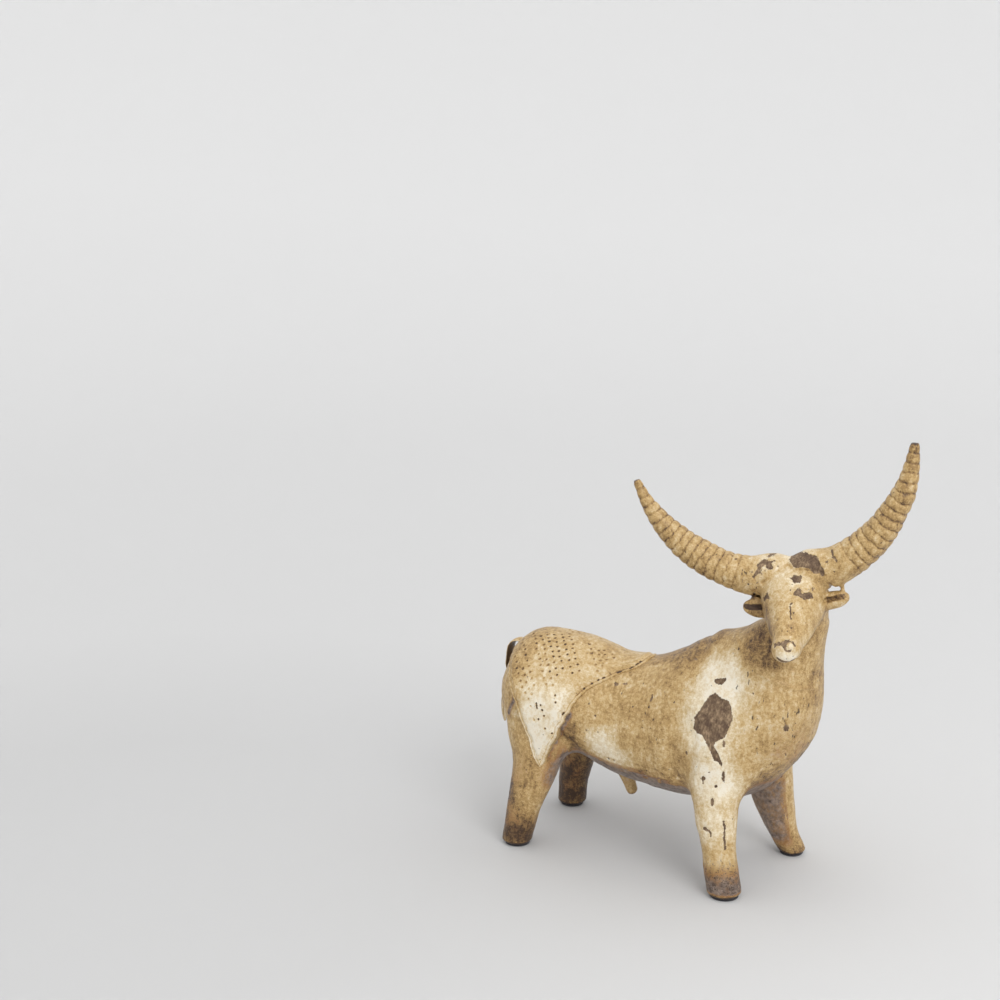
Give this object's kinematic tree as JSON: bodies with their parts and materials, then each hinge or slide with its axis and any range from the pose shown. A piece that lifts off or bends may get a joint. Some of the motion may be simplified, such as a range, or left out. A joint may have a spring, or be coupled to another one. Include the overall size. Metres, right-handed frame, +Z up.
{
  "type": "ceramic bull figurine",
  "caption": "Standing hollow stoneware bull with long ribbed horns, its head turned to one side, and a dot-stamped blanket over the rump, resting on four felt pads.",
  "frame": {"origin": "on the surface that the bull stands on, under the middle of its bounding box", "axes": "+X forward from tail to chest, +Y to the bull's left, +Z up"},
  "size_m": [0.3162, 0.1208, 0.3247],
  "materials": {
    "tan_glaze": "satin mottled tan glaze over stoneware",
    "cream_glaze": "satin cream glaze over stoneware, worn through in dark patches",
    "ochre_glaze": "satin ochre glaze, thinner and browner towards the feet",
    "horn_glaze": "satin ochre and cream glaze, thin over the ribs",
    "felt": "dark felt disc"
  },
  "bodies": {
    "root": {"body_shell": "tan_glaze", "neck_shell": "tan_glaze", "head": "cream_glaze", "muzzle": "cream_glaze", "poll_roll": "cream_glaze", "horn_left": "horn_glaze", "horn_right": "horn_glaze", "ear_left": "tan_glaze", "ear_right": "tan_glaze", "leg_front_right": "ochre_glaze", "leg_front_left": "ochre_glaze", "leg_hind_right": "ochre_glaze", "leg_hind_left": "ochre_glaze", "rump_blanket": "cream_glaze", "tail": "ochre_glaze", "sheath": "ochre_glaze", "pad_front_right": "felt", "pad_front_left": "felt", "pad_hind_right": "felt", "pad_hind_left": "felt"}
  },
  "joints": []
}
